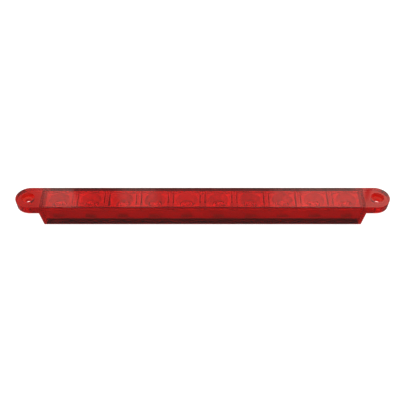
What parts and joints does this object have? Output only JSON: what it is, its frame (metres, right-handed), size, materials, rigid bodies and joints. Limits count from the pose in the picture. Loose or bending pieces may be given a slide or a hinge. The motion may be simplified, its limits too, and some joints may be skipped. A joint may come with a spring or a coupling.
{
  "type": "third brake light",
  "caption": "Slim strip third brake light with a clear red box-shaped lens, round drilled mounting ears, and a row of light-emitting diodes in reflector bowls.",
  "frame": {"origin": "centre of the flat mounting face, at the back of the lamp", "axes": "+X along the lamp, +Y across it, +Z out of the lens, the way the lamp shines"},
  "size_m": [0.2378, 0.0182, 0.015],
  "materials": {
    "red_lens": "clear red acrylic, polished outside and lightly etched inside",
    "reflector": "light satin, thinly metallised plastic",
    "board": "white solder mask",
    "led_resin": "red epoxy, glossy",
    "chip": "black glaze over a white ceramic chip",
    "capacitor_ceramic": "brown ceramic",
    "moulding": "black moulding compound",
    "tinned_brass": "tinned",
    "black_cover": "black, fine texture",
    "black_rubber": "matt black rubber"
  },
  "bodies": {
    "root": {"lens_housing": "red_lens", "reflector_strip": "reflector", "circuit_board": "board", "led_01": "led_resin", "led_02": "led_resin", "led_03": "led_resin", "led_04": "led_resin", "led_05": "led_resin", "led_06": "led_resin", "led_07": "led_resin", "led_08": "led_resin", "led_09": "led_resin", "led_10": "led_resin", "resistor_1": "chip", "resistor_2": "chip", "resistor_3": "chip", "resistor_4": "chip", "filter_capacitor": "capacitor_ceramic", "polarity_diode": "moulding", "surge_diode": "moulding", "supply_terminal": "tinned_brass", "ground_terminal": "tinned_brass", "rear_cover": "black_cover", "cover_seal": "black_rubber", "cable_grommet": "black_rubber"}
  },
  "joints": []
}
